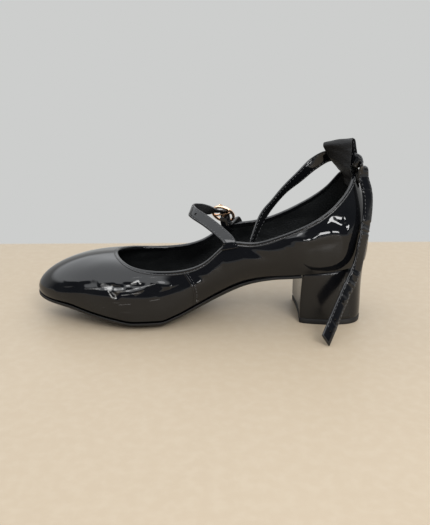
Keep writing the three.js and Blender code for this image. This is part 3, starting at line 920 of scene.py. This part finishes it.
def makeSock():
    def pad(x, share):
        return sum(height * np.exp(-((x - middle) / long)**2 - (share / wide)**2)
                   for middle, long, wide, height in cushion.values())
    toe = upper["toe"]
    back = (sock["from"] * toe, sections - sock["from"] * (sections - toe))
    piece = sheetPiece("sockSheet", sock, back, pad)
    dress(piece, [sockCloth], "sock_lining", "insole")


# Where the seat's outline comes down to on the heel's resting face, a rounded square
def heelFoot(points):
    x, y = points[:, 0], points[:, 1]
    length = np.hypot(x, y)
    behind = x > 0
    corner = np.where(behind, heel["backCorner"], heel["frontCorner"])
    lengthways = np.abs(x / length / np.where(behind, heel["back"], heel["front"]))
    sideways = np.abs(y / length / heel["side"])
    reach = (lengthways**corner + sideways**corner)**(-1 / corner)
    foot = points * (reach / length)[:, None]
    foot[:, 1] *= 1 - heel["narrowing"] * np.clip(-foot[:, 0] / heel["front"], 0, 1)**2
    return foot


# The heel's outline at one share of the way from seat to foot, its corners softened
def heelOutline(share):
    count = heel["around"]
    first, last = stationAt(heel["breast"], 1) - sections, stationAt(heel["breast"], -1)
    u = np.linspace(first, last, heel["seatPoints"])
    seat = sectionAt(u)[:, :2] - planOutward(u, 0)[:, :2] * heel["inset"]
    around = seat + (heelFoot(seat) - seat) * share
    run = np.linspace(0, 1, heel["breastPoints"])[1:-1, None]
    breast = around[-1] + (around[0] - around[-1]) * run
    breast[:, 0] += heel["hollow"] * np.sin(run[:, 0] * math.pi)**0.8
    loop = np.vstack([around, breast, around[:1]])
    length = lengthAlong(loop)
    even = np.linspace(0, length[-1], count, endpoint=False)
    loop = np.stack([np.interp(even, length, loop[:, k]) for k in (0, 1)], 1)
    reach = int(3 * heel["round"] / (length[-1] / count)) + 1
    offsets = np.arange(-reach, reach + 1)
    weights = np.exp(-(offsets * length[-1] / count / heel["round"])**2)
    weights /= weights.sum()
    return sum(np.roll(loop, -k, axis=0) * w for k, w in zip(offsets, weights))


# Levels are the share from seat to foot, an inset and the height as a function of x
def heelPiece(name, node, levels, finish, slot):
    outlines = np.array([heelOutline(share) for share, _, _ in levels])
    insets = np.array([inset for _, inset, _ in levels])
    count = heel["around"]

    def place(s, t):
        i = np.round(s * count).astype(int) % count
        j = np.round(t * (len(levels) - 1)).astype(int)
        plan = outlines[j, i]
        plan = plan - unit(plan - outlines.mean(1)[j]) * insets[j][:, None]
        heights = np.array([heightAt(plan[:, 0]) for _, _, heightAt in levels])
        return np.stack([plan[:, 0], plan[:, 1], heights[j, np.arange(len(j))]], 1) * mm
    piece = gridPiece(name, count, len(levels) - 1, place, angle=35)
    dress(piece, [finish], slot, node)


def blockLevels():
    def seat(x):
        return upper["seat"] + upper["seatSlope"] * (x - upper["seatStart"]) - heel["seatGap"]
    levels = []
    (seatInset, seatOver), (footInset, footOver) = heel["seatEdge"], heel["footEdge"]
    for drop in np.linspace(0, 1, heel["levels"]):
        share = math.sin(drop * math.pi / 2)**heel["ease"]
        inset = seatInset * math.exp(-drop / seatOver) + footInset * math.exp(-(1 - drop) / footOver)
        levels.append((share, inset, lambda x, drop=drop: seat(x) + (heel["foot"] - seat(x)) * drop))
    return levels


def tipLevels():
    top = heel["topPiece"]
    profile = [(0, 0.45), (0.12, 0.15), (0.4, 0.0), (1.6, -0.05), (3.0, -0.05), (top - 0.35, 0.05),
               (top - 0.1, 0.2), (top, 0.45)]
    return [(1, inset, lambda x, z=z: z + 0 * x) for z, inset in profile]


makeSole()
makeSock()
heelPiece("heelBlock", "heel", blockLevels(), patentHeel, "patent_heel")
heelPiece("heelTopPiece", "top_piece", tipLevels(), soleRubber, "top_piece")
print("sole, sock and heel made")


# Straps: a station is a middle point and the direction across
ribbon = {
    "sideRound": 0.62, "faceRound": 0.55, "puff": 0.10, "groove": 0.11, "grooveIn": 1.25, "grooveWidth": 0.28,
    "endSlim": 0.5, "slimOver": 0.35, "endNarrow": 0.03, "narrowOver": 0.3, "slantOver": 0.1,
    "stitchPitch": 2.7, "stitchLength": 1.8, "stitchSink": 0.02, "stitchAcross": 0.75,
    "insideFrom": 0.2, "holeSides": 24, "holeDepth": 8,
}


def ribbonFrame(stations, t):
    centres, widths = [row[0] for row in stations], [row[1] for row in stations]
    centre = catmull(centres, t)
    travel = unit(catmull(centres, np.clip(t + 0.002, 0, 1)) - catmull(centres, np.clip(t - 0.002, 0, 1)))
    across = catmull(widths, t)
    across = unit(across - (across * travel).sum(1, keepdims=True) * travel)
    return centre, travel, across, unit(np.cross(travel, across))


def ribbonLength(stations):
    return lengthAlong(ribbonFrame(stations, np.linspace(0, 1, 600))[0])[-1]


def halfWidth(strap, s):
    width = strap["width"]
    return (width(s) if callable(width) else np.full_like(s, width)) / 2


# A slanted end's shift along the strap, for a place a from -1 to 1 across it
def slantShift(strap, s, a):
    over = ribbon["slantOver"]
    return strap.get("slant", 0) * a * smoothStep((s - 1 + over) / over)


def noRipple(s, a):
    return 0 * s


# A strap's faces on its inner side take its second finish
def lineInside(piece):
    data = piece.data
    uv = np.empty(len(data.loops) * 2)
    data.uv_layers[0].data.foreach_get("uv", uv)
    starts = [face.loop_start for face in data.polygons]
    counts = [face.loop_total for face in data.polygons]
    turn = np.add.reduceat(uv[1::2], starts) / counts * 2 * math.pi
    data.polygons.foreach_set("material_index", (np.cos(turn) > ribbon["insideFrom"]).astype(np.int32))
    data.update()


def ribbonPiece(name, strap):
    ripple = strap.get("ripple", noRipple)
    length = ribbonLength(strap["stations"])

    def place(s, t):
        centre, travel, across, face = ribbonFrame(strap["stations"], s)
        turn = t * 2 * math.pi
        a = roundedWave(np.sin(turn), ribbon["sideRound"])
        f = -roundedWave(np.cos(turn), ribbon["faceRound"])
        half = halfWidth(strap, s)
        fromGroove = (np.abs(a) - 1) * half + ribbon["grooveIn"]
        groove = ribbon["groove"] * np.exp(-(fromGroove / ribbon["grooveWidth"])**2)
        relief = ribbon["puff"] * (1 - a * a) - groove
        near = np.minimum(s, 1 - s) * length
        slim = 1 - ribbon["endSlim"] * np.exp(-(near / ribbon["slimOver"])**2)
        narrow = 1 - ribbon["endNarrow"] * np.exp(-(near / ribbon["narrowOver"])**2)
        lift = f * slim * strap["thickness"] / 2 + np.sign(f) * relief * (np.abs(f) > 0.5)
        lift = (lift + ripple(s, a)) * strap.get("outer", 1)
        shift = slantShift(strap, s, a)
        return (centre + across * (a * half * narrow)[:, None] + face * lift[:, None]
                + travel * shift[:, None]) * mm
    piece = gridPiece(name, strap["steps"], strap.get("around", 48), place, angle=60)
    dress(piece, strap["finishes"], strap["slot"], strap["node"])
    if len(strap["finishes"]) > 1:
        lineInside(piece)
    return piece


# Thread rows near both edges of a strap, on one or both faces
def strapStitches(strap, name, faces, edge, start, end):
    outer = strap.get("outer", 1)
    rows = []
    for side in (-1, 1):
        for face in faces:
            def row(s, side=side, face=face):
                centre, travel, across, normal = ribbonFrame(strap["stations"], s)
                a = side * ribbon["stitchAcross"] * np.ones_like(s)
                lift = face * (strap["thickness"] / 2 - ribbon["stitchSink"]) + strap["ripple"](s, a)
                reach = side * (halfWidth(strap, s) - edge)
                shift = slantShift(strap, s, a)
                return (centre + across * reach[:, None] + normal * (outer * lift)[:, None]
                        + travel * shift[:, None])
            shares = evenly(row, ribbon["stitchPitch"], start, end, 800)
            along = row(shares + 0.001) - row(shares - 0.001)
            rows.append((row(shares), along, ribbonFrame(strap["stations"], shares)[3] * face * outer))
    stitches(name, rows, strap["slot"], ribbon["stitchLength"])


def punch(piece, strap, share, radius):
    centre, travel, across, face = [value[0] for value in ribbonFrame(strap["stations"], np.array([share]))]
    clearSelection()
    bpy.ops.mesh.primitive_cylinder_add(
        vertices=ribbon["holeSides"], radius=radius * mm, depth=ribbon["holeDepth"] * mm)
    cutter = bpy.context.active_object
    turn = Vector(face).to_track_quat("Z", "Y").to_matrix().to_4x4()
    cutter.data.transform(Matrix.Translation(Vector(centre * mm)) @ turn)
    cut = piece.modifiers.new("hole", "BOOLEAN")
    cut.object = cutter
    cut.operation = "DIFFERENCE"
    cut.solver = "EXACT"
    pick(piece)
    bpy.ops.object.modifier_apply(modifier="hole")
    bpy.data.objects.remove(cutter)


def makeStrap(name, strap):
    piece = ribbonPiece(name, strap)
    for share, radius in strap.get("holes", []):
        punch(piece, strap, share, radius)
    if "stitches" in strap:
        strapStitches(strap, *strap["stitches"])


# The buckle's ring comes first, because the straps follow its place
ring = {
    "place": (-75.6, 22.2, 68.3), "along": (0.52, 0.39, -0.76), "out": (0.31, 0.75, 0.6),
    "radius": 8, "wire": 1.12, "bar": 0.75, "pin": 0.72, "pinLift": 2.6, "pinTaper": 0.35,
    "hoopPoints": 120, "barPoints": 24, "pinPoints": 70,
}
ringAlong = unit(np.array(ring["along"]))
ringOut = np.array(ring["out"])
ringOut = unit(ringOut - ringAlong * (ringOut @ ringAlong))
ringAcross = np.cross(ringOut, ringAlong)


def inRing(along, across, out):
    return np.array(ring["place"]) + ringAlong * along + ringAcross * across + ringOut * out


def ringStation(along, out):
    return (tuple(inRing(along, 0, out)), tuple(-ringAcross))


def instepWidth(t):
    return 8 + 3.4 * np.exp(-(t / 0.05)**1.6)  # wider where it is sewn on


def instepRipple(s, a):
    return 0.06 * np.sin(s * 61 + 1) + 0.05 * np.sin(s * 133 + a * 1.2)


# Holes are a share of the length and a radius; stitches are a name, faces, place from the edge, start and end
instep = {
    "stations": [
        ((-72.2, -29.3, 57.5), (1, 0, -0.05)), ((-73.2, -28.0, 62.5), (1, 0, 0.05)),
        ((-78.8, -22.8, 67.4), (0.95, 0.1, 0.3)), ((-87.8, -14.5, 72.6), (0.85, 0.1, 0.5)),
        ((-97.3, -4.5, 76.6), (0.65, 0.1, 0.75)), ((-98, 6, 76.4), (0.3, 0.1, 0.95)),
        ((-92, 13.5, 74.6), (0.3, 0, 0.95)),
        ringStation(-8.2, -4.1), ringStation(-4.2, -0.8), ringStation(0, 2.6), ringStation(4.2, -0.8),
        ringStation(8, -3.9), ((-66, 32.2, 61.4), (0.8, -0.2, 0.5)), ((-62.5, 33.3, 52), (0.9, 0, 0.4)),
        ((-58.8, 34.4, 41), (0.9, 0, 0.3))],
    "width": instepWidth, "thickness": 1.8, "steps": 300, "outer": -1, "ripple": instepRipple,
    "holes": [(0.265, 0.95), (0.90, 0.8)], "stitches": ("instepStitches", (1,), 1.25, 0.06, 0.98),
    "finishes": [patentStrap, tabCloth], "slot": "patent_strap", "node": "instep_strap",
}


# The hanging end is crumpled in places, and the strap is bunched where it comes out of the tab
def ankleRipple(s, a):
    hang = smoothStep((s - 0.66) / 0.05) * smoothStep((0.985 - s) / 0.05)
    warp = s + 0.006 * np.sin(s * 131) + 0.004 * np.sin(s * 317 + 1) + 0.002 * a * np.sin(s * 71)
    crush = np.sin(warp * 290 + 0.9 * a) + 0.5 * np.sin(warp * 611 + 2 - 1.4 * a)
    crush = crush * np.clip(np.sin(s * 59 + 0.4) + 0.35 * np.sin(s * 141) + 0.25, 0, 1)
    bunch = smoothStep((s - 0.42) / 0.03) * smoothStep((0.58 - s) / 0.03)
    return 0.34 * hang * crush + 0.16 * bunch * np.sin(warp * 260 + a) + 0.05 * np.sin(s * 47)


ankle = {
    "stations": [
        ((-58.2, -17, 46), (0.35, 0.8, -0.4)), ((-55.8, -13, 59), (0.35, 0.8, -0.5)),
        ((-48.6, -4.5, 73.4), (0.4, 0.6, -0.7)), ((-40.3, 3, 82), (0.2, 0.65, -0.75)),
        ((-31.7, 9, 90.2), (0.25, 0.6, -0.75)), ((-20.8, 13.6, 98.6), (0.3, 0.3, -0.85)),
        ((-11, 16.4, 106.8), (0.25, 0, -0.9)), ((-2.2, 13.8, 112.6), (0.7, 0.15, -1)),
        ((4, 6.6, 113.8), (0.5, 0, -1)), ((10.2, -1.8, 113.8), (0.15, -0.2, -1)),
        ((13.6, -7.4, 113.6), (0, -0.35, -1)), ((17.2, -11.6, 110.4), (0.5, 0.2, -0.8)),
        ((18.8, -12.2, 102), (0.85, 0.5, -0.1)), ((21.4, -14, 92.5), (0.85, 0.5, 0)),
        ((21.7, -17.6, 77.6), (0.8, 0.6, 0)), ((18.2, -24, 61.2), (0.8, 0.6, 0)),
        ((14.4, -28.5, 43.5), (0.8, 0.5, 0)), ((3.6, -41.8, 25.8), (0.76, 0.35, -0.5)),
        ((-3.9, -52, 14.4), (0.72, 0.2, -0.66)), ((-10.5, -61, 4.2), (0.72, 0.2, -0.66))],
    "width": 9, "thickness": 1.8, "steps": 520, "slant": 1.5, "ripple": ankleRipple,
    "holes": [(0.054, 0.85), (0.9, 0.85), (0.945, 0.85), (0.976, 0.85)],
    "stitches": ("ankleStitches", (1, -1), 1.25, 0.01, 0.975),
    "finishes": [patentStrap], "slot": "patent_strap", "node": "ankle_strap",
}


# The tab's two walls turn and lean as they rise; side is how far off its middle a wall stands
def tabStation(z, side):
    share = (z - 106) / 19
    turn = math.radians(14 + 48 * share)
    front = (-math.cos(turn), -math.sin(turn))
    return ((10.2 - 7 * share + front[0] * side, 2 + 2 * share + front[1] * side, z),
            (math.sin(turn), -math.cos(turn), 0.02 + 0.2 * share))


def tabRipple(s, a):
    return 0.25 * np.sin(s * 23 + a * 2.4) * (1 - 0.6 * np.abs(a)) + 0.10 * np.sin(s * 71 + a * 5)


tabLow = (0.24, -0.97, 0.0)
tabHeights = (107.5, 111, 115, 119, 123)
tab = {
    "stations": [((13.6, 2.6, 93), tabLow), ((12.2, 2.4, 99), tabLow), ((9.0, 1.6, 103.5), tabLow)]
    + [tabStation(z, 3.4) for z in tabHeights] + [tabStation(125, 0)]
    + [tabStation(z, -3.4) for z in reversed(tabHeights)]
    + [((14.9, 3.2, 104.6), tabLow), ((18.6, 3.6, 99.5), tabLow), ((20.6, 3.9, 95), tabLow)],
    "width": 21, "thickness": 1.3, "steps": 220, "around": 72, "ripple": tabRipple,
    "stitches": ("heelTabStitches", (1,), 1.4, 0.02, 0.98),
    "finishes": [tabCloth], "slot": "tab_lining", "node": "heel_tab",
}
buckleTab = {
    "stations": [
        ringStation(1.6, -1.6), ringStation(4.6, -4.3), ringStation(8, -6.7), ringStation(10.6, -6.8),
        ((-70.4, 24.6, 54.5), tuple(-ringAcross))],
    "width": 7, "thickness": 1.3, "steps": 60,
    "finishes": [patentStrap], "slot": "patent_strap", "node": "buckle_tab",
}

makeStrap("instepStrap", instep)
makeStrap("ankleStrap", ankle)
makeStrap("heelTabSleeve", tab)
makeStrap("buckleTab", buckleTab)
print("straps made")


# Buckle
def wirePiece(name, points, radii, closed=False, steps=8):
    curve = bpy.data.curves.new(name, "CURVE")
    curve.dimensions = "3D"
    curve.bevel_depth = mm
    curve.bevel_resolution = steps
    curve.use_fill_caps = True
    spline = curve.splines.new("POLY")
    spline.points.add(len(points) - 1)
    for point, place, radius in zip(spline.points, points, radii):
        point.co = (*(np.array(place) * mm), 1)
        point.radius = radius
    spline.use_cyclic_u = closed
    piece = bpy.data.objects.new(name, curve)
    bpy.context.scene.collection.objects.link(piece)
    pick(piece)
    bpy.ops.object.convert(target="MESH")
    piece = bpy.context.active_object
    closeUp(piece, fill=not closed, merge=0.0005 * mm)
    softShade(piece, 60)
    return piece


def makeRing():
    radius, bars = ring["radius"], ring["barPoints"]
    turn = np.linspace(0, 2 * math.pi, ring["hoopPoints"] + 1)[:-1]
    hoop = [inRing(radius * math.cos(a), radius * math.sin(a), 0) for a in turn]
    rim = wirePiece("buckleRing", hoop, [ring["wire"]] * len(hoop), closed=True)
    across = [inRing(0, y, 0) for y in np.linspace(-radius, radius, bars)]
    bar = wirePiece("buckleBar", across, [ring["bar"]] * bars)
    pick(rim)
    bar.select_set(True)
    bpy.ops.object.join()
    dress(rim, [gold], "buckle_metal", "buckle_ring")


def makePin():
    top = ring["wire"] + ring["pin"] + ring["pinLift"]
    # along and out, from round the bar to the tip
    route = [(0.9, -1.6), (1.6, -0.6), (1.6, 0.8), (0.8, 2.3), (-0.6, top - 0.3), (-2.5, top),
             (-4.6, top - 0.1), (-6.4, top - 0.8), (-7.7, top - 2.1)]
    shares = np.linspace(0, 1, ring["pinPoints"])
    path = catmull([(along, 0, out) for along, out in route], shares)
    radii = ring["pin"] * (1 - ring["pinTaper"] * smoothStep((shares - 0.6) / 0.4))
    radii[-4:] *= np.array([0.95, 0.85, 0.65, 0.35])
    pin = wirePiece("bucklePin", [inRing(*point) for point in path], radii)
    dress(pin, [gold], "buckle_metal", "buckle_prong")


makeRing()
makePin()
print("buckle made")
